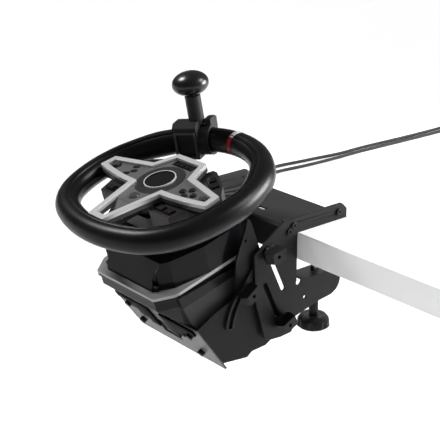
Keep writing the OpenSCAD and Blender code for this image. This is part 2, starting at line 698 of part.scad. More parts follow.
// Seesaw of two pads in a pod
module rocker(p, turn) {
    color("dimgray") at_wheel() side(p[0]) translate([abs(p[0]), p[1], 0]) rotate(turn) {
        translate([-15, -5.5, 1]) cube([30, 11, 2]);
        for (k = [-1, 1]) translate([k * 8 - 5.5, -4.5, 3 - eps]) cube([11, 9, 2]);
        translate([0, 5.5, 0.9]) rotate([90, 0, 0]) cylinder(d = 4, h = 11);
    }
}
paddle_x = 34;
paddle_n = -36;
module paddle(s) {
    color("silver") at_wheel() side(s) difference() {
        union() {
            translate([paddle_x, -15, paddle_n - 1.5]) linear_extrude(3)
                polygon([[2, 3], [2, 27], [20, 32], [52, 36], [56, 30], [52, 8], [20, -2]]);
            translate([paddle_x, 12.5, paddle_n]) rotate([90, 0, 0]) cylinder(d = 7, h = 25);
        }
        translate([paddle_x, 20, paddle_n]) rotate([90, 0, 0]) cylinder(d = 3 + 2 * fit, h = 40);
    }
}

// ---------- spinner knob ----------
lean_out = 8;
module at_spinner() { at_wheel() rotate(spinner_at) translate([rim_r, 0, 0]) rotate([0, lean_out, 0]) children(); }
block_w = 34;
block_y = -6;
strap_w = 14;
half = grip_d / 2 + 0.6;
module rim_hole() { at_wheel() rotate_extrude($fn = rim_n) translate([rim_r, 0]) circle(r = half); }
module spinner_clamp() {
    color("black") difference() {
        at_spinner() {
            difference() {
                translate([-half - 5, block_y, -half - 4]) linear_extrude(2 * half + 16) square([half + 13, block_w]);
                translate([-half - 6, block_y + 4, -half + 1]) cube([3, block_w - 8, 2 * half - 2]);
                for (x = [-half - 5, 8]) translate([x, 0, half + 12]) rotate([0, 45, 0])
                    cube([8, 100, 8], center = true);
            }
            translate([0, 0, half + 6]) cylinder(d = stem_d, h = ball_up - ball_flat - 0.5 - half - 6);
            translate([0, 0, half + 6]) cylinder(d = 8, h = ball_up - half - 8);
        }
        rim_hole();
    }
}
module spinner_strap() {
    color("black") difference() {
        at_spinner() {
            rotate([90, 0, 0]) translate([0, 0, -block_y + gap]) cylinder(r = half + 4, h = strap_w);
            translate([-2, block_y - gap - strap_w, half + 1]) cube([17, strap_w - 5, 11]);
            translate([12, block_y - gap - strap_w + 1, half - 6]) cube([9, 6, 15]);
        }
        rim_hole();
    }
}
ball_flat = ball_d * 0.33;
module spinner_knob() {
    color("black") at_spinner() translate([0, 0, ball_up]) difference() {
        rotate_extrude() {
            difference() {
                intersection() {
                    scale([1, 2 * ball_flat / ball_d]) circle(d = ball_d, $fn = 72);
                    translate([0, -50]) square([50, 100]);
                }
                translate([-1, -50]) square([4 + fit + 1, 50 + 1]);
            }
        }
    }
}

// ---------- cords ----------
// Routes of the two cords from the base to their coils, laid by hand
gland_way = [0, 0.912, 0.41];
usb_route = [[-66, -66, 4], [-66, -48, 12], [-67, -27, 16.5], [-68, -6, 13], [-70, 15, 7], [-72, 40, 5.6],
    [-74, 65, 5.6], [-80, 88, 5.6], [-95, 112, 3.2], [-112, 135, 2.5], [-121, 158, 2.5], [-112, 200, 2.5],
    [-108, 240, 2.5], [-100, 276, 2.5], [-103, 324, 2.5], [-98, 374, 2.5], [-94, 440, 2.5], [-92, 520, 2.5],
    [-92.6, 590, 2.5], [-92.7, 638, 2.5]];
power_route = [[-52, -66, 4], [-52, -48, 12], [-53, -27, 16.5], [-54, -6, 13], [-55, 15, 7], [-57, 40, 5.6],
    [-59, 65, 5.6], [-64, 88, 5.6], [-78, 108, 3.2], [-94, 124, 2.5], [-101, 142, 2.5], [-93, 184, 2.5],
    [-90.5, 223, 2.5], [-88.5, 264, 2.5], [-90, 309, 2.5], [-86, 362, 2.5], [-82, 430, 2.5], [-79.5, 490, 2.5],
    [-79.7, 546, 2.5]];
usb_coil_at = [-60, 640];
power_coil_at = [-47, 548];
usb_tail = [[-48, 672.7, 2.5], [-36, 672.7, 2.5], [-24, 672.7, 2.5]];
power_tail = [[-35, 580.7, 2.5], [-23, 580.7, 2.5], [-11, 580.7, 2.5]];
coil_turn_r = 26;
// Smooth curve through the points of a route, n steps between neighbours
function along(p, n) = [for (i = [0:len(p) - 2], k = [0:n - 1]) let (
    a = p[max(i - 1, 0)], b = p[i], c = p[i + 1], d = p[min(i + 2, len(p) - 1)], t = k / n)
    0.5 * (2 * b + (c - a) * t + (2 * a - 5 * b + 4 * c - d) * t * t + (3 * b - a - 3 * c + d) * t * t * t),
    p[len(p) - 1]];
function unit(v) = v / norm(v);
module tube(route, d, n) {
    p = along(route, n);
    m = len(p);
    sides = 8;
    rings = [for (i = [0:m - 1]) let (
        t = unit(p[min(i + 1, m - 1)] - p[max(i - 1, 0)]),
        o = unit(cross(t, [0, 0, 1])), u = cross(o, t))
        each [for (j = [0:sides - 1]) p[i] + d / 2 * (cos(j * 45) * o + sin(j * 45) * u)]];
    polyhedron(rings, concat(
        [[for (j = [0:sides - 1]) j]],
        [for (i = [0:m - 2], j = [0:sides - 1]) let (k = (j + 1) % sides)
            each [[i * sides + j, (i + 1) * sides + j, (i + 1) * sides + k],
                [i * sides + j, (i + 1) * sides + k, i * sides + k]]],
        [[for (j = [sides - 1:-1:0]) (m - 1) * sides + j]]));
}
module cord(route, tail, d) { color("black") { tube(route, d, 4); tube(tail, d, 1); } }
module coil(p, d) {
    color("black") translate([p[0], p[1], 0]) rotate_extrude()
        translate([coil_turn_r - 2 * d, 0.1]) square([4 * d, 3 * d]);
}
module usb_plug() {
    color("black") translate(usb_tail[2]) {
        translate([0, -6, -2.4]) cube([24, 12, 7]);
        translate([24 - eps, -4.5, -1.4]) cube([12, 9, 4.5]);
    }
}
module power_plug() {
    color("black") translate([power_tail[2][0], power_tail[2][1], 5]) rotate([0, 90, 0]) {
        cylinder(d = 9.8, h = 26);
        translate([0, 0, 26 - eps]) cylinder(d = 5.5, h = 10);
    }
}

top_plate();
side_plate(-1);  // side_plate_left
side_plate(1);  // side_plate_right
frame_screws();
clamp_pad(-1);  // clamp_pad_left
clamp_pad(1);  // clamp_pad_right
clamp_screw(-1);  // clamp_screw_left
clamp_screw(1);  // clamp_screw_right
pivot_shaft();
stay(-1);  // stay_left
stay(1);  // stay_right
upper_knob(-1);  // upper_knob_left
upper_knob(1);  // upper_knob_right
lower_knob(-1);  // lower_knob_left
lower_knob(1);  // lower_knob_right
tilt_knob(-1);  // tilt_knob_left
tilt_knob(1);  // tilt_knob_right
cradle();
base_bolts();
base_case();
base_cover();
motor();
drive_belt();
bearings();
control_board();
motor_pulley();
steering_shaft();
drive_pulley();
rim_core();
rim_grip();
hub_back();
hub_face();
trim();
badge();
rev_lights();
paddle(-1);  // paddle_left
paddle(1);  // paddle_right
dpad();
color("black") oval_button(option_at[0]);  // option_upper
color("black") oval_button(option_at[1]);  // option_middle
color("black") oval_button(option_at[2]);  // option_lower
color("black") round_button(action_at[0], action_d, button_top);  // action_upper
color("black") round_button(action_at[1], action_d, button_top);  // action_left
color("black") round_button(action_at[2], action_d, button_top);  // action_right
color("black") round_button(action_at[3], action_d, button_top);  // action_lower
thumb_control();
color("black") round_button(mode_at, mode_d, button_top);  // mode_button
rocker([-rocker_upper_at[0], rocker_upper_at[1]], -28);  // rocker_upper_left
rocker(rocker_upper_at, -28);  // rocker_upper_right
rocker([-rocker_lower_at[0], rocker_lower_at[1]], 0);  // rocker_lower_left
rocker(rocker_lower_at, 0);  // rocker_lower_right
spinner_clamp();
spinner_strap();
spinner_knob();
cord(usb_route, usb_tail, usb_d);  // usb_cord
coil(usb_coil_at, usb_d);  // usb_coil
usb_plug();
cord(power_route, power_tail, power_d);  // power_cord
coil(power_coil_at, power_d);  // power_coil
power_plug();
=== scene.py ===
# %% [markdown]
# # A desk-mounted racing wheel
# The exact parts arrive ready made as a frame: plates, screws, gears and buttons, each in its place
# and in metres. This notebook adds what exact parts lack: finishes, soft edges, leather, cords and
# light. Up is +Z, the driver sits at -Y, and the desk top is the plane z = 0.

# %% Load the frame
import json
import math
import bpy
from mathutils import Matrix, Vector

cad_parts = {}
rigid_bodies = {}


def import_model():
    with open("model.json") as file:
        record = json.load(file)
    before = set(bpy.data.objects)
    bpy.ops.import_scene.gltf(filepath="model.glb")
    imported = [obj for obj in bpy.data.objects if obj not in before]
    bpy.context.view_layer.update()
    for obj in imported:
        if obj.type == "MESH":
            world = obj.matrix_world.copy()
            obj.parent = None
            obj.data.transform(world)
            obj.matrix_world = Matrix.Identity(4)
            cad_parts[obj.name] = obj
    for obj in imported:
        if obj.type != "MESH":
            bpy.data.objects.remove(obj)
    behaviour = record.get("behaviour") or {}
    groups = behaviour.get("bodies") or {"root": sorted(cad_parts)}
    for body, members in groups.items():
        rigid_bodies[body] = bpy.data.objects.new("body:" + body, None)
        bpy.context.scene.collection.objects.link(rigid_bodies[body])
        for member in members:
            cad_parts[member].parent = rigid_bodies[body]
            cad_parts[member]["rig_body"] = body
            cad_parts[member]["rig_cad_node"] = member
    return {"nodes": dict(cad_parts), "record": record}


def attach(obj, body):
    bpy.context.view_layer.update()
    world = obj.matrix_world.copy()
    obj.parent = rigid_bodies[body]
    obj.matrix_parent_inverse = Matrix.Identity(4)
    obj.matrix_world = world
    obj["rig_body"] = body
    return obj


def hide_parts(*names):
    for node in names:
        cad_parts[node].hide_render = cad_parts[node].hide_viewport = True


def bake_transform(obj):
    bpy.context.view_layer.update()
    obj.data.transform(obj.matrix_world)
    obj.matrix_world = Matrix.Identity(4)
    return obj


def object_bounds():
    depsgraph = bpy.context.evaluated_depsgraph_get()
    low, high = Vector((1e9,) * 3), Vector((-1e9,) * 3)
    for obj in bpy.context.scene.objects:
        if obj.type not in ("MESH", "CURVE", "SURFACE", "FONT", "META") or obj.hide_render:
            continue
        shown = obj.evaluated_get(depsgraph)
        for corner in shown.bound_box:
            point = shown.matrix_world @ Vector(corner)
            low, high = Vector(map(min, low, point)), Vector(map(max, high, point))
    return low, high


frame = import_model()
nodes = frame["nodes"]
cad_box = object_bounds()
MM = 0.001

# %% [markdown]
# ## Camera
# A long lens from the driver's right, a little above the rim. The long lens keeps the ring's
# ellipse nearly free of perspective, as in a catalogue picture.

# %% Place the camera
azimuth, elevation, roll = math.radians(50.65), math.radians(20.57), math.radians(-0.6)
camera_place = (1.0907, -0.9421, 0.5306)
focal_mm, sensor_mm, farthest = 93.84, 36, 60


def facing(x, y, z):
    """The turn that lays the three axes along three directions."""
    return Matrix((x, y, z)).transposed().to_4x4()


forward = Vector((-math.sin(azimuth) * math.cos(elevation), math.cos(azimuth) * math.cos(elevation),
                  -math.sin(elevation)))
level = Vector((math.cos(azimuth), math.sin(azimuth), 0))
across = level * math.cos(roll) + level.cross(forward) * math.sin(roll)
above = across.cross(forward)
lens = bpy.data.cameras.new("camera")
lens.lens, lens.sensor_width, lens.clip_end = focal_mm, sensor_mm, farthest
camera = bpy.data.objects.new("camera", lens)
bpy.context.scene.collection.objects.link(camera)
camera.matrix_world = Matrix.Translation(camera_place) @ facing(across, above, -forward)
bpy.context.scene.camera = camera
print("camera looks along", tuple(round(v, 3) for v in forward))

# %% [markdown]
# ## The wheel's own frame
# The rim leans 15 degrees from flat, so its pieces are made flat round the centre, in millimetres
# turned to metres, and then set down by one matrix. `face_up` points along the steering axis.

# %% Lean and centre of the wheel
hub = Vector((0, -138, 66.6)) * MM
set_down = Matrix.Translation(hub) @ Matrix.Rotation(math.radians(15), 4, "X")
face_up = (set_down.to_3x3() @ Vector((0, 0, 1))).normalized()
up_face = (set_down.to_3x3() @ Vector((0, 1, 0))).normalized()
print("steering axis", tuple(round(v, 3) for v in face_up))

# %% Lean and top edge of the cradle's front plate
plate_lean = math.radians(34.8)
plate_edge = Vector((0, -162, -91.6)) * MM
plate_in = Vector((0, math.cos(plate_lean), math.sin(plate_lean)))
plate_down = Vector((0, math.sin(plate_lean), -math.cos(plate_lean)))
print("front plate faces", tuple(round(-v, 3) for v in plate_in))

# %% [markdown]
# ## Tools of the bench
# `finish_piece` bakes an object's place into its mesh, which keeps patterns on Object coordinates
# still, and gives the piece its body and its material.

# %% Selection and finishing helpers
weld_within = 2e-6


def only(piece):
    bpy.ops.object.select_all(action="DESELECT")
    bpy.context.view_layer.objects.active = piece
    piece.select_set(True)
    return piece


def added(name):
    """Name the object that an operator just made, and select it alone."""
    piece = bpy.context.active_object
    piece.name = piece.data.name = name
    return only(piece)


def apply_modifiers(piece):
    only(piece)
    for modifier in list(piece.modifiers):
        bpy.ops.object.modifier_apply(modifier=modifier.name)


def bevel_edges(piece, width_mm, segments=2, sharper_than=30):
    """Bevel the edges where the surface turns by more than an angle in degrees."""
    bevel = piece.modifiers.new("edges", "BEVEL")
    bevel.width, bevel.segments = width_mm * MM, segments
    bevel.angle_limit = math.radians(sharper_than)
    apply_modifiers(piece)


def pick(piece, test):
    """Select the vertices of a piece that pass a test on their place, and enter edit mode."""
    only(piece)
    bpy.ops.object.mode_set(mode="EDIT")
    bpy.ops.mesh.select_mode(type="VERT")
    bpy.ops.mesh.select_all(action="DESELECT")
    bpy.ops.object.mode_set(mode="OBJECT")
    for vertex in piece.data.vertices:
        vertex.select = test(vertex.co)
    bpy.ops.object.mode_set(mode="EDIT")


def pick_faces(piece, test):
    """Select the faces whose middle passes a test, and enter edit mode."""
    pick(piece, lambda co: False)
    bpy.ops.mesh.select_mode(type="FACE")
    bpy.ops.object.mode_set(mode="OBJECT")
    for face in piece.data.polygons:
        face.select = test(face.center)
    bpy.ops.object.mode_set(mode="EDIT")


def tidy_mesh(piece):
    """Weld the points, turn the faces outward and leave edit mode."""
    bpy.ops.mesh.select_all(action="SELECT")
    bpy.ops.mesh.remove_doubles(threshold=weld_within)
    bpy.ops.mesh.normals_make_consistent(inside=False)
    bpy.ops.object.mode_set(mode="OBJECT")
    return only(piece)


def grown(name, rings, place, sides=32):
    """Grow a round piece from a disc, ring by ring: each ring is (height, radius) in millimetres."""
    bpy.ops.mesh.primitive_circle_add(vertices=sides, radius=rings[0][1] * MM, fill_type="NGON",
                                      location=(0, 0, rings[0][0] * MM))
    piece = added(name)
    bpy.ops.object.transform_apply(location=True)
    bpy.ops.object.mode_set(mode="EDIT")
    bpy.ops.mesh.select_all(action="SELECT")
    for (below, inner), (height, radius) in zip(rings, rings[1:]):
        rise, widen = (height - below) * MM, radius / inner
        bpy.ops.mesh.extrude_region_move(TRANSFORM_OT_translate={"value": (0, 0, rise)})
        bpy.ops.transform.resize(value=(widen, widen, 1), center_override=(0, 0, height * MM))
    tidy_mesh(piece)
    piece.matrix_world = place
    return piece


def finish_piece(piece, body, material, replaces=(), smooth=35):
    """Bake the place, and give the piece its material and body. smooth is in degrees."""
    only(piece)
    bpy.ops.object.transform_apply(location=True, rotation=True, scale=True)
    piece.data.materials.clear()
    piece.data.materials.append(material)
    bpy.ops.object.shade_smooth_by_angle(angle=math.radians(smooth))
    for node in replaces:
        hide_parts(node)
    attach(piece, body)


# %% [markdown]
# ## Finishes as sums
# A finish is a small web of nodes. To keep the sums readable, `Number` wraps a socket and turns
# `a * b + 1` into Math nodes. Colours go through Mix nodes, because a Math node would turn them grey.

# %% A number that changes over a surface
class Number:
    def __init__(self, finish, socket):
        self.finish, self.socket = finish, socket

    def maths(self, operation, *values):
        """A Math node on the values, in their order. This number isn't added to them."""
        return self.finish.node("ShaderNodeMath", {"operation": operation}, *values)

    def __add__(self, other):
        return self.maths("ADD", self, other)

    def __mul__(self, other):
        return self.maths("MULTIPLY", self, other)

    def __sub__(self, other):
        return self.maths("SUBTRACT", self, other)

    def __rsub__(self, other):
        return self.maths("SUBTRACT", other, self)

    def __gt__(self, other):
        return self.maths("GREATER_THAN", self, other)

    def __lt__(self, other):
        return self.maths("LESS_THAN", self, other)

    def __pow__(self, other):
        return self.maths("POWER", self, other)

    __radd__ = __add__
    __rmul__ = __mul__


class Finish:
    """One material: its shader's fixed sockets, and the nodes that feed the rest."""

    def __init__(self, name, colour, rough, metal=0.0, mirror=0.12):
        self.material = bpy.data.materials.new(name)
        self.material.use_nodes = True
        self.tree = self.material.node_tree
        self.shader = self.tree.nodes["Principled BSDF"]
        for socket, value in {"Base Color": (*colour, 1), "Roughness": rough, "Metallic": metal,
                              "Specular IOR Level": mirror}.items():
            self.shader.inputs[socket].default_value = value
        self.place = self.node("ShaderNodeTexCoord", {}, out="Object")

    def node(self, kind, settings, *values, out=0, **named):
        made = self.tree.nodes.new(kind)
        for key, value in settings.items():
            setattr(made, key, value)
        sockets = dict(enumerate(values))
        sockets.update(named)
        for key, value in sockets.items():
            if isinstance(value, Number):
                self.tree.links.new(value.socket, made.inputs[key])
            else:
                made.inputs[key].default_value = value
        return Number(self, made.outputs[out])

    def noise(self, scale, detail=2.0, place=None):
        where = place or self.place
        return self.node("ShaderNodeTexNoise", {}, Vector=where, Scale=scale, Detail=detail)

    def reach(self, direction, start=hub):
        """How far the surface lies from start along a direction, in metres."""
        away = self.node("ShaderNodeVectorMath", {"operation": "DOT_PRODUCT"}, self.place,
                         tuple(direction), out="Value")
        return away - Vector(start).dot(Vector(direction))

    def round_the_axis(self, up_mm):
        """Distance from a line along the steering axis, up_mm up the face."""
        x, u = self.reach((1, 0, 0)), self.reach(up_face) - up_mm * MM
        return (x * x + u * u) ** 0.5

    def stretched(self, x, y, z):
        return self.node("ShaderNodeMapping", {}, Vector=self.place, Scale=(x, y, z))

    def mix(self, share, first, second):
        made = self.node("ShaderNodeMix", {"data_type": "RGBA"}, out=2)
        inputs = made.socket.node.inputs
        for key, value in ((0, share), (6, first), (7, second)):
            if isinstance(value, Number):
                self.tree.links.new(value.socket, inputs[key])
            else:
                inputs[key].default_value = value if key == 0 else (*value, 1)
        return made

    def paint(self, colour, rough=None, metal=None, bump=None, strength=0.2, distance=0.0004):
        """Link what varies to the shader. strength and distance, in metres, are the bump's."""
        fed = {"Base Color": colour, "Roughness": rough, "Metallic": metal}
        if bump:
            fed["Normal"] = self.node("ShaderNodeBump", {}, Height=bump, Strength=strength,
                                      Distance=distance)
        for socket, number in fed.items():
            if number:
                self.tree.links.new(number.socket, self.shader.inputs[socket])
        return self.material


def shade(colour, factor):
    return tuple(min(1, c * factor) for c in colour)


# %% [markdown]
# ## Finishes of this wheel
# Powder coat is a little uneven and pebbled. Moulded plastic has a fine even grain. Gloss plastic
# gathers faint smears. Leather has small plump cells. Turned steel carries fine marks across its
# length. Each helper takes the colour, and where it varies, how rough the real surface is.

# %% Metal and plastic
def powder_coat(name, colour):
    f = Finish(name, colour, 0.42, mirror=0.1)
    cloud, pebble = f.noise(18), f.noise(1400, 3)
    return f.paint(colour=f.mix(cloud, shade(colour, 0.85), shade(colour, 1.18)),
                   rough=cloud * 0.12 + 0.37, bump=pebble, strength=0.22)


def moulded(name, colour, rough=0.5, grain=2200, mirror=0.12):
    f = Finish(name, colour, rough, mirror=mirror)
    cloud, fine = f.noise(30), f.noise(grain, 1)
    return f.paint(colour=f.mix(cloud, shade(colour, 0.88), shade(colour, 1.14)),
                   rough=fine * 0.12 + (rough - 0.05), bump=fine, strength=0.3, distance=0.0002)


def gloss(name, colour, rough=0.16):
    f = Finish(name, colour, rough, mirror=0.4)
    smear, dust = f.noise(40, 4), f.noise(900, 2)
    return f.paint(colour=f.mix(smear, shade(colour, 0.9), shade(colour, 1.25)),
                   rough=smear * 0.14 + dust * 0.05 + (rough - 0.08))


def turned(name, colour, rough=0.25, along=(1, 1, 60)):
    f = Finish(name, colour, rough, metal=1.0)
    rings = f.noise(40, 4, place=f.stretched(*along))
    stain = f.noise(25)
    return f.paint(colour=f.mix(stain, shade(colour, 0.82), shade(colour, 1.1)),
                   rough=rings * 0.25 + (rough - 0.08), bump=rings, strength=0.12, distance=0.0002)


# %% Leather, rubber and board
def leather(name, colour):
    f = Finish(name, colour, 0.36, mirror=0.17)
    cells = f.node("ShaderNodeTexVoronoi", {"feature": "SMOOTH_F1"}, Vector=f.place, Scale=900.0)
    wear, fine = f.noise(22, 3), f.noise(2500, 2)
    return f.paint(colour=f.mix(wear, shade(colour, 0.75), shade(colour, 1.6)),
                   rough=wear * 0.16 + cells * 0.1 + 0.2, bump=cells + fine * 0.3, strength=0.16,
                   distance=0.0003)


def rubber(name, colour):
    f = Finish(name, colour, 0.7)
    dust, fine = f.noise(60, 3), f.noise(1800)
    return f.paint(colour=f.mix(dust, shade(colour, 0.8), shade(colour, 1.7)),
                   rough=dust * 0.2 + 0.55, bump=fine, strength=0.25)


def circuit(name, colour):
    f = Finish(name, colour, 0.35)
    tracks = f.node("ShaderNodeTexBrick", {}, Vector=f.place, Scale=120.0)
    lines = f.noise(260, 0) > 0.55
    return f.paint(colour=f.mix(lines * 0.6, colour, shade(colour, 2.2)), bump=tracks, strength=0.1)


def toothed(name, colour):
    f = Finish(name, colour, 0.65)
    teeth = f.node("ShaderNodeTexWave", {"bands_direction": "DIAGONAL"}, Vector=f.place, Scale=260.0)
    return f.paint(colour=f.mix(teeth, shade(colour, 0.7), shade(colour, 1.8)),
                   bump=teeth, strength=0.5)


# %% [markdown]
# ## Pieces of two finishes
# Some moulded pieces are painted or joined from two materials, and on a few pieces one of the two
# colours is painted light or shade. The finish itself tells them apart by where the surface lies: how
# far along the steering axis, or how far from it. A comparison of two numbers gives 0 or 1, and that
# share mixes the two colours and the two roughnesses.

# %% Two finishes on one piece
origin = (0, 0, 0)
# metres: top, foot and front limit of the band of painted shade along the desk plate's fold
fold_shade_top, fold_shade_foot, fold_shade_back = -0.0005, -0.009, -0.006


def two_tone(name, mask_of, first, second, rough, metal=(0, 0), mirror=0.12):
    """first where the mask is 0, second where it is 1. rough and metal hold a value for each."""
    f = Finish(name, first, rough[0], mirror=mirror)
    mask, cloud, fine = mask_of(f), f.noise(30, 3), f.noise(1500, 2)
    plain = f.mix(mask, first, second)
    return f.paint(colour=f.mix(cloud * 0.3, plain, shade(first, 0.6)),
                   rough=mask * (rough[1] - rough[0]) + rough[0] + cloud * 0.08 - 0.04,
                   metal=mask * (metal[1] - metal[0]) + metal[0] if any(metal) else None,
                   bump=fine, strength=0.16, distance=0.0002)


def plate_with_fold_shade(name, colour, fold_shade_colour):
    """Powder coat with a dark band of painted shade that runs along the fold, just over the apron."""
    f = Finish(name, colour, 0.42)
    height, ahead = f.reach((0, 0, 1), origin), f.reach((0, 1, 0), origin)
    fold_shade = (height < fold_shade_top) * (height > fold_shade_foot) * (ahead < fold_shade_back)
    cloud, pebble = f.noise(18), f.noise(1400, 3)
    return f.paint(colour=f.mix(fold_shade, f.mix(cloud, shade(colour, 0.85), shade(colour, 1.2)),
                                fold_shade_colour),
                   rough=cloud * 0.12 + 0.36, bump=pebble, strength=0.22)


# %% [markdown]
# ## Which part takes which finish
# The record names a slot for each part, and most slots take one finish. Some of these change at a
# height or a radius: the trim has a dark foot, the face a darker disc of painted shade round the
# badge, the case a dark band, the cover a pale lip, the badge a bright ring, and the cradle a front
# plate painted paler, a painted reflection of the pale floor. A few parts then get a finish of their
# own: the desk plate with a dark band of painted shade along its fold, the screws with bright
# threads, the chromed buttons and the plug with its metal shell.

# %% Where one finish ends and the next begins
# heights along the steering axis from the hub, in metres
trim_foot, cover_lip, case_band = 0.0102, -0.0916, -0.113
# radii in metres round a line that lies badge_up millimetres up the face: the badge's ring, and the
# face's disc of painted shade round the badge
badge_up, ring_r, shade_disc_r = -2, 0.0195, 0.033
# the skin of the front plate that takes the painted reflection, the knobs' height and the plug's
# shell, in metres
reflection_skin, knob_top, shell_x = 0.0016, -0.106, 0.0001
print("two-finish borders set")

# %% Finishes by slot
bracket_coat = powder_coat("bracket_coat", (0.015, 0.015, 0.0155))
steel = turned("turned_steel", (0.6, 0.6, 0.61), 0.28)
black_oxide = turned("black_oxide", (0.03, 0.03, 0.032), 0.4)
pad_finish = rubber("pad_rubber", (0.016, 0.016, 0.017))
knob_finish = moulded("knob_plastic", (0.012, 0.012, 0.013), 0.34, 1500)
grip_finish = leather("grip_leather", (0.004, 0.004, 0.0045))
core_finish = powder_coat("core_coat", (0.014, 0.014, 0.015))
hub_finish = moulded("hub_plastic", (0.022, 0.022, 0.023), 0.36)
trim_finish = two_tone("satin_trim", lambda f: f.reach(face_up) < trim_foot, (0.66, 0.66, 0.67),
                       (0.02, 0.02, 0.021), rough=(0.34, 0.36), metal=(0.4, 0.0))
window_finish = gloss("light_window", (0.008, 0.008, 0.009), 0.1)
button_finish = gloss("button_plastic", (0.01, 0.01, 0.011), 0.2)
chrome_button = two_tone("dark_chrome", lambda f: f.noise(50) > 0.5, (0.1, 0.1, 0.102),
                         (0.3, 0.3, 0.305), rough=(0.2, 0.16), metal=(0.5, 0.9))
paddle_finish = turned("paddle_metal", (0.12, 0.12, 0.125), 0.35, (60, 1, 1))
clamp_finish = moulded("clamp_plastic", (0.024, 0.024, 0.025), 0.34, 1600)
ball_finish = gloss("ball_plastic", (0.008, 0.008, 0.009), 0.24)
pulley_finish = moulded("pulley_plastic", (0.7, 0.7, 0.68), 0.45)
belt_finish = toothed("belt_rubber", (0.02, 0.02, 0.02))
board_finish = circuit("circuit_board", (0.02, 0.12, 0.05))
cord_finish = rubber("cord_jacket", (0.02, 0.02, 0.021))

# %% Parts of two finishes
case_finish = two_tone("case_finish", lambda f: f.reach(face_up) > case_band, (0.03, 0.03, 0.031),
                       (0.005, 0.005, 0.006), rough=(0.4, 0.24))
cover_finish = two_tone("cover_finish", lambda f: f.reach(face_up) < cover_lip,
                        (0.007, 0.007, 0.008), (0.4, 0.4, 0.405), rough=(0.12, 0.32), mirror=0.09)
# the face is darker in a disc round the badge: painted shade round the badge
face_painted_shade = two_tone("face_plastic", lambda f: f.round_the_axis(badge_up) < shade_disc_r,
                       (0.12, 0.12, 0.121), (0.026, 0.026, 0.027), rough=(0.42, 0.3))
badge_finish = two_tone("badge_finish", lambda f: f.round_the_axis(badge_up) > ring_r,
                        (0.012, 0.012, 0.013), (0.78, 0.78, 0.79), rough=(0.16, 0.2),
                        metal=(0.0, 0.25))
screw_finish = two_tone("screw_finish", lambda f: f.reach((0, 0, 1), origin) > knob_top,
                        (0.01, 0.01, 0.011), (0.3, 0.3, 0.305), rough=(0.36, 0.26), metal=(0.0, 1.0))
# the cradle is one dark coat; its front plate is painted pale grey, a painted reflection of the pale
# floor
cradle_painted_reflection = two_tone("cradle_coat_painted_reflection", lambda f: f.reach(plate_in, plate_edge) < reflection_skin,
                         (0.011, 0.011, 0.0115), (0.14, 0.14, 0.142), rough=(0.4, 0.36), mirror=0.08)
# the desk plate's dark band along its fold is painted shade
plate_finish = plate_with_fold_shade("plate_coat_fold_shade", (0.03, 0.03, 0.031), (0.004, 0.004, 0.004))
plug_finish = two_tone("plug_finish", lambda f: f.reach((1, 0, 0), origin) > shell_x,
                       (0.014, 0.014, 0.015), (0.6, 0.6, 0.61), rough=(0.4, 0.25), metal=(0.0, 1.0))

# %% Give every part its finish
by_slot = {"bracket_paint": bracket_coat, "cradle_paint": cradle_painted_reflection, "case_plastic": case_finish,
           "cover_plastic": cover_finish, "bright_steel": steel, "dark_fastener": black_oxide,
           "pad_rubber": pad_finish, "knob_plastic": knob_finish, "grip_leather": grip_finish,
           "core_metal": core_finish, "hub_plastic": hub_finish, "face_plastic": face_painted_shade,
           "satin_trim": trim_finish, "badge_chrome": badge_finish, "light_window": window_finish,
           "button_plastic": button_finish, "paddle_metal": paddle_finish,
           "clamp_plastic": clamp_finish, "ball_plastic": ball_finish, "pulley_plastic": pulley_finish,
           "belt_rubber": belt_finish, "board": board_finish, "cord_jacket": cord_finish}
own_finish = {"top_plate": plate_finish, "clamp_screw_left": screw_finish,
              "clamp_screw_right": screw_finish, "mode_button": chrome_button, "dpad": chrome_button,
              "thumb_control": chrome_button, "usb_plug": plug_finish}
slot_of = {part["node"]: part["material_slot"] for part in frame["record"]["subparts"]}
body_of = {node: body for body, members in frame["record"]["behaviour"]["bodies"].items()
           for node in members}
finish_of = {node: own_finish.get(node, by_slot[slot_of[node]]) for node in nodes}
for name, part in nodes.items():
    part.data.materials.clear()
    part.data.materials.append(finish_of[name])
print("finishes:", len(set(finish_of.values())))

# %% [markdown]
# ## Cords
# A data cord and a power cord leave stubs at the back of the base, drop to the desk and run side by
# side. The length that is spare is wound into two neat coils, in four columns and three layers. The
# first layer winds inwards on the desk, then each column climbs or falls, one turn at a time.

# %% Routes on the desk
cord_d = 0.0046
usb_route = [(-66, -66, 4), (-66, -48, 12), (-67, -27, 16.5), (-68, -6, 13), (-70, 15, 7),
             (-72, 40, 5.6), (-74, 65, 5.6), (-80, 88, 5.6), (-95, 112, 3.2), (-112, 135, 2.5),
             (-121, 158, 2.5), (-112, 200, 2.5), (-108, 240, 2.5), (-100, 276, 2.5), (-103, 324, 2.5),
             (-98, 374, 2.5), (-94, 440, 2.5), (-92, 520, 2.5), (-92.6, 590, 2.5)]
power_route = [(-52, -66, 4), (-52, -48, 12), (-53, -27, 16.5), (-54, -6, 13), (-55, 15, 7),
               (-57, 40, 5.6), (-59, 65, 5.6), (-64, 88, 5.6), (-78, 108, 3.2), (-94, 124, 2.5),
               (-101, 142, 2.5), (-93, 184, 2.5), (-90.5, 223, 2.5), (-88.5, 264, 2.5),
               (-90, 309, 2.5), (-86, 362, 2.5), (-82, 430, 2.5), (-79.5, 490, 2.5)]
# one station per whole turn: column 0 is the outermost, layer 0 lies on the desk
stations = [(0, 0), (1, 0), (2, 0), (3, 0), (3, 1), (3, 2), (2, 2), (2, 1), (1, 1), (1, 2), (0, 2),
            (0, 1)]
usb_middle, power_middle = (-60, 640), (-47, 548)
# millimetres: radius of the outermost turn, its distance from the next, a layer, the first height
outer_turn, pitch, layer, lie = 32.7, 4.6, 4.55, 2.5
# how the end leaves the coil: millimetres forth, and height
tail = [(8, 5.6), (16, 3.4), (26, lie), (36, lie)]
turn_steps = 24


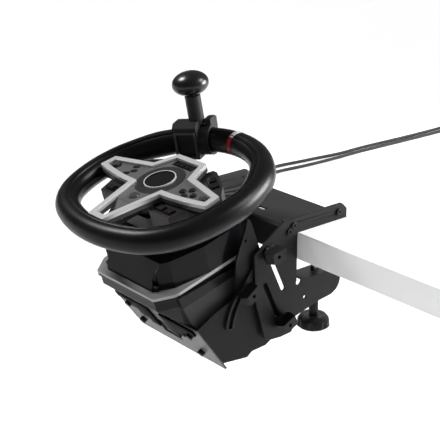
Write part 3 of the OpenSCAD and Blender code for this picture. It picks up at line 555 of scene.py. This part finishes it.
# %% Cords from their routes
def wound(route, middle):
    """The route's points and then the coil's, in metres."""
    points = [Vector(p) for p in route]
    whole = len(stations) - 1
    for k in range(int((whole + 0.25) * turn_steps) + 1):
        turn = min(k / turn_steps, whole)
        here, part = int(turn), turn - int(turn)
        (c0, l0), (c1, l1) = stations[here], stations[min(here + 1, whole)]
        ease = part * part * (3 - 2 * part)
        radius = outer_turn - pitch * (c0 + (c1 - c0) * ease)
        height = lie + layer * (l0 + (l1 - l0) * ease)
        angle = math.pi - 2 * math.pi * k / turn_steps
        points.append(Vector((middle[0] + radius * math.cos(angle),
                              middle[1] + radius * math.sin(angle), height)))
    last = points[-1]
    for forth, height in tail:
        points.append(Vector((last.x + forth, last.y, height)))
    return [p * MM for p in points]


def length_of(points):
    return sum((b - a).length for a, b in zip(points, points[1:]))


def thread(name, points, kind):
    """A curve as thick as the cord through some points, and its spline."""
    line = bpy.data.curves.new(name, "CURVE")
    line.dimensions, line.bevel_depth, line.bevel_resolution = "3D", cord_d / 2, 3
    line.materials.append(cord_finish)
    spline = line.splines.new(kind)
    spline.points.add(len(points) - 1)
    for point, place in zip(spline.points, points):
        point.co = (*place, 1)
    cord = bpy.data.objects.new(name, line)
    bpy.context.scene.collection.objects.link(cord)
    return cord, spline


def lay_cord(name, points, node_names):
    """The part of a cord that lies still on the bracket and the desk."""
    cord, spline = thread(name, points, "NURBS")
    spline.order_u, spline.use_endpoint_u = 4, True
    cord.data.resolution_u, cord.data.use_fill_caps = 3, True
    for node in node_names:
        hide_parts(node)
    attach(cord, "bracket")
    print(name, round(length_of(points), 3), "m")
    return cord


usb_points, power_points = wound(usb_route, usb_middle), wound(power_route, power_middle)
on_carriage, on_bracket = 3, 5
usb_cord = lay_cord("usb_flex", usb_points[on_bracket:], ["usb_cord", "usb_coil"])
power_cord = lay_cord("power_flex", power_points[on_bracket:], ["power_cord", "power_coil"])
usb_length, power_length = (length_of(p[on_bracket:]) for p in (usb_points, power_points))

# %% [markdown]
# ## The slack of the cords
# The base tilts and rises, and the desk stays. So the first stretch of each cord is made in two
# pieces: from the cradle to the carriage, then from the carriage to the bracket. Each stretch is a
# tube along a smooth bow through its points.

# %% Four stretches of slack
slack_steps = 40


def bow(points, share):
    """A point of the smooth curve that leaves and arrives along the first and last leg."""
    while len(points) > 1:
        points = [a.lerp(b, share) for a, b in zip(points, points[1:])]
    return points[0]


def slack(name, points):
    """A tube along the bow of points."""
    path = [bow(points, k / slack_steps) for k in range(slack_steps + 1)]
    tube, _ = thread(name, path, "POLY")
    only(tube)
    bpy.ops.object.convert(target="MESH")
    tube = added(name)
    bpy.ops.object.shade_smooth()
    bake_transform(tube)
    return tube, path


slacks = []
for cord_name, points in (("usb", usb_points), ("power", power_points)):
    slacks.append(slack(cord_name + "_slack_base", points[:on_carriage + 1]))
    slacks.append(slack(cord_name + "_slack_desk", points[on_carriage:on_bracket + 1]))
print("slack stretches:", len(slacks))

# %% [markdown]
# ## Soft edges
# Real sheet metal and moulded parts have no knife edges: a thin bright line runs along every one.
# A copy of the exact part is welded, its flat faces are joined up, and a bevel goes on the edges
# that turn sharply. A joined face that goes round a hole or a corner is split again first, because
# it would fill in wrongly. The copy then stands for the part.

# %% Bevelled copies of the parts that show
# an edge is left alone where the cosine of its turn is above this
level_turn, rounding_steps = 0.97, 6


def round_long_edges(piece, radius_mm, longer_mm, test):
    """Round the long outward edges that pass a test on their middle."""
    # a face read here is gone once edit mode has been entered, so its numbers are copied
    mesh, faces_of = piece.data, {}
    for face in mesh.polygons:
        for key in face.edge_keys:
            faces_of.setdefault(key, []).append((face.normal.copy(), face.center.copy()))
    pick(piece, lambda co: False)
    bpy.ops.mesh.select_mode(type="EDGE")
    bpy.ops.object.mode_set(mode="OBJECT")
    for edge in mesh.edges:
        a, b = (mesh.vertices[v].co for v in edge.vertices)
        faces = faces_of.get(edge.key, [])
        if len(faces) == 2 and (a - b).length > longer_mm * MM and test((a + b) / 2):
            (normal, center), (other_normal, other_center) = faces
            outward = (other_center - center).dot(normal) < 0
            edge.select = normal.dot(other_normal) < level_turn and outward
    bpy.ops.object.mode_set(mode="EDIT")
    bpy.ops.mesh.bevel(offset=radius_mm * MM, segments=rounding_steps, affect="EDGES",
                       clamp_overlap=True)
    bpy.ops.object.mode_set(mode="OBJECT")


# degrees: faces that turn less are joined, and edges that turn more are bevelled
flat_within, sharp_from = 0.6, 38


def softened(name, width_mm, smooth=35, rounded=None):
    """Bevel a copy of a part. rounded holds the radius, shortest edge and test of its long edges."""
    piece = nodes[name].copy()
    piece.data = nodes[name].data.copy()
    piece.name = piece.data.name = name + "_soft"
    piece.parent = None
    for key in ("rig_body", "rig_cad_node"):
        if key in piece:
            del piece[key]
    bpy.context.scene.collection.objects.link(piece)
    only(piece)
    bpy.ops.object.mode_set(mode="EDIT")
    bpy.ops.mesh.select_all(action="SELECT")
    bpy.ops.mesh.remove_doubles(threshold=weld_within)
    bpy.ops.mesh.dissolve_limited(angle_limit=math.radians(flat_within))
    bpy.ops.mesh.vert_connect_concave()
    bpy.ops.object.mode_set(mode="OBJECT")
    if rounded:
        round_long_edges(piece, *rounded)
    bevel_edges(piece, width_mm, sharper_than=sharp_from)
    finish_piece(piece, body_of[name], finish_of[name], [name], smooth)
    flat = piece.modifiers.new("flat_faces", "WEIGHTED_NORMAL")
    flat.keep_sharp = True
    apply_modifiers(piece)


# %% Bevel widths, in millimetres
edge_widths = {
    "top_plate": 0.5, "side_plate_left": 0.5, "side_plate_right": 0.5, "stay_left": 0.5,
    "stay_right": 0.5, "cradle": 0.5, "trim": 1.7, "hub_face": 0.4, "hub_back": 0.8,
    "upper_knob_left": 0.8, "upper_knob_right": 0.8, "lower_knob_left": 0.8,
    "lower_knob_right": 0.8, "tilt_knob_left": 0.8, "tilt_knob_right": 0.8,
    "clamp_screw_left": 0.5, "clamp_screw_right": 0.5, "clamp_pad_left": 0.8,
    "clamp_pad_right": 0.8, "base_bolts": 0.4, "frame_screws": 0.3, "spinner_clamp": 0.8,
    "spinner_strap": 0.6, "usb_plug": 0.6, "power_plug": 0.5, "paddle_left": 0.5,
    "paddle_right": 0.5}
for name, width in edge_widths.items():
    softened(name, width)
# metres from the hub: the cover is rounded above its lip, the case below its band
above_lip, below_band = -0.0915, -0.1
softened("base_cover", 0.8, smooth=50,
         rounded=(7, 12, lambda co: (co - hub).dot(face_up) > above_lip))
softened("base_case", 0.8, rounded=(2.5, 20, lambda co: (co - hub).dot(face_up) < below_band))
print("softened parts:", len(edge_widths) + 2)

# %% [markdown]
# ## Stepped ribs of the front plate
# Under each front corner of the case a black moulding runs down over the plate in four steps. A grid
# gives the squares, those past the staircase are deleted, and the rest gets its thickness.

# %% Two stepped mouldings
rib_finish = moulded("rib_plastic", (0.002, 0.002, 0.0022), 0.5, mirror=0.02)
# millimetres: across the plate, down it, thickness, below its top edge, out from the middle
rib_x, rib_down, rib_thick, rib_gap, rib_out = 70, 42, 3, 2, 48
# squares each way, and how far a square's middle may lie past the staircase
rib_steps, past_step = 4, 0.01 * MM
for name, side in (("corner_ribs_left", -1), ("corner_ribs_right", 1)):
    bpy.ops.mesh.primitive_grid_add(x_subdivisions=rib_steps, y_subdivisions=rib_steps, size=2)
    ribs = added(name)
    ribs.scale = (rib_x / 2 * MM, rib_down / 2 * MM, 1)
    bpy.ops.object.transform_apply(scale=True)
    pick_faces(ribs, lambda co: co.x / rib_x - co.y / rib_down > past_step)
    bpy.ops.mesh.delete(type="FACE")
    bpy.ops.mesh.select_all(action="SELECT")
    bpy.ops.mesh.extrude_region_move(TRANSFORM_OT_translate={"value": (0, 0, rib_thick * MM)})
    tidy_mesh(ribs)
    bevel_edges(ribs, 0.8)
    if side < 0:
        bpy.ops.transform.mirror(constraint_axis=(True, False, False))
        bpy.ops.object.transform_apply(scale=True)
    below, aside = (rib_down / 2 + rib_gap) * MM, Vector((side * rib_out * MM, 0, 0))
    middle = plate_edge + plate_down * below + aside
    ribs.matrix_world = Matrix.Translation(middle) @ facing(Vector((1, 0, 0)), -plate_down, -plate_in)
    finish_piece(ribs, "cradle", rib_finish)
    print(name, len(ribs.data.polygons), "faces")

# %% [markdown]
# ## Border of the clamp's panel
# The block that grips the rim carries a sunk panel in a raised border, on the side that faces the hub.
# A plane gets an inset, its middle is deleted, and the frame that is left is extruded. The frame is
# painted paler than the block, a painted highlight on its raised edges.

# %% Raised border
# millimetres: the rim's radius, the block's half thickness and wall, and its place along the rim
rim_r, clamp_half, block_wall, block_along = 125.5, 16.6, 5, 11
# millimetres: the panel's width and its two ends, then the border's width and height
panel_w, panel_low, panel_top, border_w, border_h = 31, -19.0, 17.0, 3.2, 1.2
# degrees: the spinner's place round the rim from the driver's right, and its lean
spinner_turn, spinner_lean = 118.5, 8
bpy.ops.mesh.primitive_plane_add(size=2)
border = added("clamp_border_highlight")
border.scale = ((panel_top - panel_low) / 2 * MM, panel_w / 2 * MM, 1)
bpy.ops.object.transform_apply(scale=True)
pick_faces(border, lambda co: True)
bpy.ops.mesh.inset(thickness=border_w * MM)
bpy.ops.mesh.delete(type="FACE")
bpy.ops.mesh.select_all(action="SELECT")
bpy.ops.mesh.extrude_region_move(TRANSFORM_OT_translate={"value": (0, 0, border_h * MM)})
tidy_mesh(border)
bevel_edges(border, 0.5)
at_spinner = (set_down @ Matrix.Rotation(math.radians(spinner_turn), 4, "Z")
              @ Matrix.Translation((rim_r * MM, 0, 0))
              @ Matrix.Rotation(math.radians(spinner_lean), 4, "Y"))
on_block = Matrix.Translation(
    Vector((-clamp_half - block_wall, block_along, (panel_low + panel_top) / 2)) * MM)
border.matrix_world = at_spinner @ on_block @ Matrix.Rotation(math.radians(-90), 4, "Y")
# paler than the clamp's own plastic: painted highlight on the raised border
finish_piece(border, "steering_wheel",
             moulded("clamp_border_highlight", (0.07, 0.07, 0.071), 0.34, 1600))
print("border of the panel:", panel_w, "by", panel_top - panel_low, "mm")

# %% [markdown]
# ## The leather grip
# The rim is a round section swept along arcs: half a circle on top, then a side, a corner and a
# flatter bottom arc, and back up. Sweeping by hand is the spin tool, once per arc, each about its own
# centre. Two rings of points are first pressed into the section, so every spin carries them along as
# the two sewn seams. The thumb rests swell by a resize that fades out with distance.

# %% Arcs of the rim
# millimetres: the grip's radius, the flat bottom's depth, and the radii of sides and corners
grip_r, bottom, side_r, corner_r, side_turn = 16.0, 111.5, 150.0, 80.0, 20.0
side_c = (side_r - rim_r, 0.0)
corner_c = (-side_c[0] + (side_r - corner_r) * math.cos(math.radians(side_turn)),
            -(side_r - corner_r) * math.sin(math.radians(side_turn)))
spare = bottom - corner_r + corner_c[1]
bottom_gap = (spare ** 2 + corner_c[0] ** 2) / (2 * spare)
corner_turn = math.degrees(math.acos(corner_c[0] / bottom_gap))
# centre in the rim's plane, degrees turned, steps
arcs = [((0, 0), 180, 72), (side_c, side_turn, 10),
        ((-corner_c[0], corner_c[1]), corner_turn - side_turn, 18),
        ((0, bottom_gap + corner_r - bottom), 180 - 2 * corner_turn, 22),
        (corner_c, corner_turn - side_turn, 18), ((-side_c[0], 0), side_turn, 10)]
print("corner arc turns", round(corner_turn - side_turn, 1), "degrees")


# %% Section and spins
# degrees from the driver's right, growth, and metres over which it fades
thumb_turns, thumb_swell, thumb_fade = (38, 142), 1.08, 0.04


def section(name, radius, start=0.0):
    """A circle across the rim, standing start degrees round from the driver's right."""
    turn = math.radians(start)
    middle = (rim_r * MM * math.cos(turn), rim_r * MM * math.sin(turn), 0)
    bpy.ops.mesh.primitive_circle_add(vertices=72, radius=radius * MM, location=middle,
                                      rotation=(math.pi / 2, 0, turn))
    ring = added(name)
    bpy.ops.object.transform_apply(location=True, rotation=True)
    return ring


def round_section(place, start=0.0):
    """Angle of a point round the rim's section: 0 outward, 90 toward the driver, 180 inward."""
    turn = math.radians(start)
    outward = place.x * math.cos(turn) + place.y * math.sin(turn) - rim_r * MM
    return math.degrees(math.atan2(place.z, outward)) % 360


def walk_round():
    """Spin what is selected along all the arcs, once round the rim."""
    for (x, y), turn, steps in arcs:
        bpy.ops.mesh.spin(steps=steps, angle=math.radians(turn), center=(x * MM, y * MM, 0),
                          axis=(0, 0, -1))


def swell_thumbs(piece):
    """Widen the grip where the thumbs rest, fading out with distance."""
    for turn in thumb_turns:
        way = Vector((math.cos(math.radians(turn)), math.sin(math.radians(turn)), 0))
        place, along = way * rim_r * MM, way.cross(Vector((0, 0, 1)))
        pick(piece, lambda co: abs((co - place).dot(along)) < 0.003 and (co - place).length < 0.02)
        bpy.ops.transform.resize(value=(thumb_swell,) * 3, center_override=place,
                                 use_proportional_edit=True, proportional_edit_falloff="SMOOTH",
                                 proportional_size=thumb_fade)
        bpy.ops.object.mode_set(mode="OBJECT")


# %% Leather round the rim
# degrees round the section, and how far the seams are pressed in
seams, pressed = (105, 115), 0.94
leather_rim = section("leather_rim", grip_r)
pick(leather_rim, lambda co: any(abs(round_section(co) - seam) < 1 for seam in seams))
bpy.ops.transform.resize(value=(pressed, 1, pressed), center_override=(rim_r * MM, 0, 0))
bpy.ops.mesh.select_all(action="SELECT")
walk_round()
tidy_mesh(leather_rim)
swell_thumbs(leather_rim)
print("leather rim:", len(leather_rim.data.polygons), "faces")
leather_rim.matrix_world = set_down
finish_piece(leather_rim, "steering_wheel", grip_finish, ["rim_grip"], smooth=60)

# %% [markdown]
# ## The sewn welt
# Between the two pressed seams the leather stands up in a thin welt. It is the same walk round the
# arcs with a very small circle, set on the crown of the grip towards its inner side.

# %% Welt round the rim
welt_turn, welt_r, welt_reach = math.radians(sum(seams) / 2), 0.55, grip_r + 0.1
welt_place = Vector((rim_r + welt_reach * math.cos(welt_turn), 0, welt_reach * math.sin(welt_turn)))
bpy.ops.mesh.primitive_circle_add(vertices=8, radius=welt_r * MM, location=welt_place * MM,
                                  rotation=(math.pi / 2, 0, 0))
welt = added("rim_welt")
bpy.ops.object.transform_apply(location=True, rotation=True)
bpy.ops.object.mode_set(mode="EDIT")
bpy.ops.mesh.select_all(action="SELECT")
walk_round()
tidy_mesh(welt)
swell_thumbs(welt)
welt.matrix_world = set_down
finish_piece(welt, "steering_wheel", grip_finish, smooth=60)
print("welt:", len(welt.data.polygons), "faces")

# %% [markdown]
# ## The twelve o'clock mark
# A narrow band of coloured leather is let into the grip at the top: white on the crown, red down the
# inner side. Each patch is a piece of a slightly larger section, spun through a few degrees and then
# given its thickness.

# %% Band of the mark
white_leather = leather("white_leather", (0.62, 0.62, 0.61))
red_leather = leather("red_leather", (0.32, 0.008, 0.014))
# degrees either side of the top, and millimetres: proud of the grip, thickness
half_turn, proud, band_thick = 1.7, 0.05, 0.35


def band_patch(name, begin, end, material):
    """A patch of the band from begin to end, in degrees round the section."""
    start = 90 - half_turn
    patch = section(name, grip_r + proud, start)
    pick(patch, lambda co: not begin <= round_section(co, start) <= end)
    bpy.ops.mesh.delete(type="VERT")
    bpy.ops.mesh.select_all(action="SELECT")
    bpy.ops.mesh.spin(steps=4, angle=math.radians(2 * half_turn), center=(0, 0, 0),
                      axis=(0, 0, -1))
    tidy_mesh(patch)
    thick = patch.modifiers.new("thick", "SOLIDIFY")
    thick.thickness, thick.offset = band_thick * MM, 0
    apply_modifiers(patch)
    patch.matrix_world = set_down
    finish_piece(patch, "steering_wheel", material, smooth=60)


band_patch("mark_crown", 62, 121, white_leather)
band_patch("mark_inner", 119, 215, red_leather)
band_patch("mark_outer", 40, 62, red_leather)
print("three patches of the mark")

# %% [markdown]
# ## Strain reliefs
# Where a cord leaves its stub a soft tapered sleeve keeps it from kinking. It is grown ring by ring
# from a disc: a collar, then shallow grooves that let it bend, narrowing to the cord.

# %% Two ribbed sleeves
rings = [(-1.5, 3.2), (-1.4, 4.6), (2.0, 4.6), (2.3, 4.2)]
for k in range(5):
    foot, wide = 3.2 + 3.6 * k, 4.3 - 0.27 * k
    rings += [(foot, wide - 0.7), (foot + 0.9, wide - 0.75), (foot + 1.1, wide),
              (foot + 3.2, wide - 0.15)]
rings += [(21.6, 2.7), (22.0, 2.45)]
leaving = Vector((0, 0.912, 0.41))
along_cord = Vector((0, 0, 1)).rotation_difference(leaving).to_matrix().to_4x4()
for name, route in (("usb_relief", usb_route), ("power_relief", power_route)):
    sleeve = grown(name, rings, Matrix.Translation(Vector(route[0]) * MM) @ along_cord)
    finish_piece(sleeve, "cradle", cord_finish, smooth=30)
print("strain reliefs:", rings[-1][0], "mm")

# %% [markdown]
# ## Small lights of the pod
# Two red specks sit in the lip of the lower right pod. Each is a tiny lens grown from a disc.

# %% Two lenses
lens_finish = gloss("lens_red", (0.55, 0.01, 0.02), 0.15)
lens_rings = [(0, 0.7), (0.5, 0.7), (0.75, 0.5), (0.85, 0.2)]
for name, place in (("pod_lens_inner", (60, -46, 2.95)), ("pod_lens_outer", (69, -46, 2.95))):
    dot = grown(name, lens_rings, set_down @ Matrix.Translation(Vector(place) * MM), sides=16)
    finish_piece(dot, "steering_wheel", lens_finish)
print("two lenses")

# %% [markdown]
# ## Floor
# A plain pale floor lies far below the lowest part, so it reads as an even ground and the shadows
# on it stay faint. It is part of the studio, not of the wheel.

# %% Floor
# metres: how far below the lowest part, and how wide
floor_drop, floor_size = 0.55, 30
lowest = cad_box[0][2]
bpy.ops.mesh.primitive_plane_add(size=floor_size, location=(0, 0, lowest - floor_drop))
floor = added("floor")
floor_finish = Finish("floor_paint", (0.92, 0.92, 0.92), 0.9)
floor.data.materials.append(floor_finish.paint(colour=floor_finish.mix(
    floor_finish.noise(0.6), (0.9, 0.9, 0.9), (0.94, 0.94, 0.94))))
print("floor at", round(lowest - floor_drop, 3), "m")

# %% [markdown]
# ## A stretch of desk
# The bracket is made to grip a desk, and the cords need one to lie on. A plain pale board fills the
# clamp's gap. It is part of the studio, not of the wheel.

# %% Desk board
desk_t = 0.0366
bpy.ops.mesh.primitive_cube_add(size=1, location=(0.1, 0.4, -desk_t / 2), scale=(0.6, 0.8, desk_t))
board = added("desk_board")
bpy.ops.object.transform_apply(location=True, scale=True)
bevel_edges(board, 1.2, segments=3)
board.data.materials.append(floor.data.materials[0])
print("desk board:", tuple(round(size, 4) for size in board.dimensions), "m")

# %% [markdown]
# ## Light and background
# Two suns with wide discs stand for the studio's lamps: a strong one over the driver's left shoulder
# and a weaker one from behind on the right. Their discs make the long soft highlights on leather and
# gloss plastic. A soft box low behind the desk draws the far edges. The world is white where the
# camera looks straight at it and dim for everything else, so that dark pieces stay dark.


# %% Lamps
def lamp(name, kind, strength):
    light = bpy.data.lights.new(name, kind)
    light.energy = strength
    piece = bpy.data.objects.new(name, light)
    bpy.context.scene.collection.objects.link(piece)
    return piece


def sun(name, come_from, strength, spread):
    """A sun that shines from a direction, with a disc spread degrees wide."""
    piece = lamp(name, "SUN", strength)
    piece.data.angle = math.radians(spread)
    piece.rotation_euler = Vector(come_from).to_track_quat("Z", "Y").to_euler()


def softbox(name, place, width, height, power):
    """A lit panel at a place, turned towards the hub. Sizes in metres, power in watts."""
    piece = lamp(name, "AREA", power)
    piece.data.shape, piece.data.size, piece.data.size_y = "RECTANGLE", width, height
    piece.location = place
    piece.rotation_euler = (Vector(place) - hub).to_track_quat("Z", "Y").to_euler()


sun("key", (-1.25, -0.5, 1.6), 2.6, 18)
sun("back", (0.9, 1.1, 1.3), 1.6, 22)
softbox("right_box", (0.85, 1.35, 0.45), 0.9, 0.7, 60)
print("lamps:", len(bpy.data.lights))

# %% World
dim_world = 0.12
world = bpy.data.worlds.new("studio")
world.use_nodes = True
web = world.node_tree
background = web.nodes["Background"]
background.inputs["Color"].default_value = (1, 1, 1, 1)
seen_by_camera = web.nodes.new("ShaderNodeLightPath")
brightness = web.nodes.new("ShaderNodeMath")
brightness.operation = "MAXIMUM"
brightness.inputs[1].default_value = dim_world
web.links.new(seen_by_camera.outputs["Is Camera Ray"], brightness.inputs[0])
web.links.new(brightness.outputs[0], background.inputs["Strength"])
bpy.context.scene.world = world
bpy.context.scene.view_settings.view_transform = "Standard"
print("world is", dim_world, "bright except to the camera")

# %% [markdown]
# ## Finish
# The length of each slack stretch is computed.

for tube, path in slacks:
    length_of(path)
